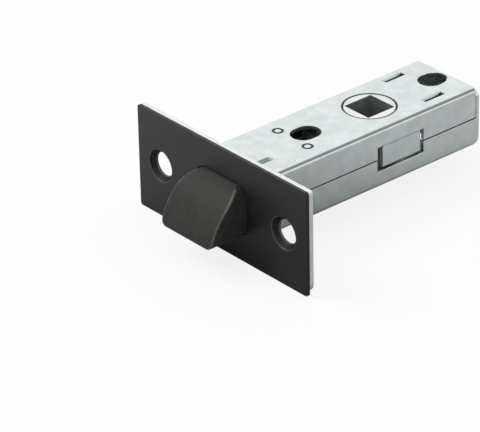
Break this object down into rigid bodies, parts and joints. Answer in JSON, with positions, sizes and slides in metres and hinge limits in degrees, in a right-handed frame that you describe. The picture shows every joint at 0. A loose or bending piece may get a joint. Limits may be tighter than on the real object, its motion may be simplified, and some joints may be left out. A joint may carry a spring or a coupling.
{
  "type": "tubular door latch",
  "caption": "Tubular door latch: sprung bevelled bolt drawn back by a turning square-spindle follower, in a pressed case with a two-plate forend.",
  "frame": {"origin": "centre of the forend cover's front face, on the line between the two screw holes", "axes": "+X along the forend, +Y from the forend along the case into the door, +Z along the spindle axis; the bolt points along -Y"},
  "size_m": [0.057, 0.0798, 0.0256],
  "materials": {
    "black_coating": "satin black powder coat",
    "zinc_casting": "zinc-plated, matt",
    "plated_sheet": "zinc-plated pressed sheet, satin",
    "bolt_steel": "satin black plating",
    "draw_steel": "bare stamped steel",
    "follower_zinc": "as-cast zinc",
    "nylon": "natural nylon",
    "block_zinc": "as-cast zinc",
    "rivet_steel": "bare steel",
    "pin_steel": "ground steel",
    "spring_steel": "drawn spring wire"
  },
  "bodies": {
    "case": {"cover_plate": "black_coating", "forend": "zinc_casting", "upper_shell": "plated_sheet", "lower_shell": "plated_sheet", "upper_hub_washer": "nylon", "lower_hub_washer": "nylon", "spring_block": "block_zinc", "spring_guide_left": "pin_steel", "spring_guide_right": "pin_steel", "bolt_spring_left": "spring_steel", "bolt_spring_right": "spring_steel"},
    "bolt": {"latch_bolt": "bolt_steel", "upper_draw_plate": "draw_steel", "lower_draw_plate": "draw_steel", "bolt_rivet_left": "rivet_steel", "bolt_rivet_right": "rivet_steel", "pull_pin_left": "pin_steel", "pull_pin_right": "pin_steel"},
    "hub": {"follower": "follower_zinc"}
  },
  "joints": [
    {"name": "follower_turn", "type": "hinge", "parent": "case", "child": "hub", "pos_m": [0, 0.0444, 0], "axis": [0, 0, 1], "range_deg": [0, 70.86]},
    {"name": "bolt_slide", "type": "slide", "parent": "case", "child": "bolt", "axis": [0, 1, 0], "range_m": [0, 0.01046], "stiffness_N_per_m": 300, "springref_m": -0.012, "deforming": ["bolt_spring_left", "bolt_spring_right"]}
  ],
  "couplings": [
    {"joint": "follower_turn", "follows": "bolt_slide", "rad_per_m": 118.24}
  ]
}
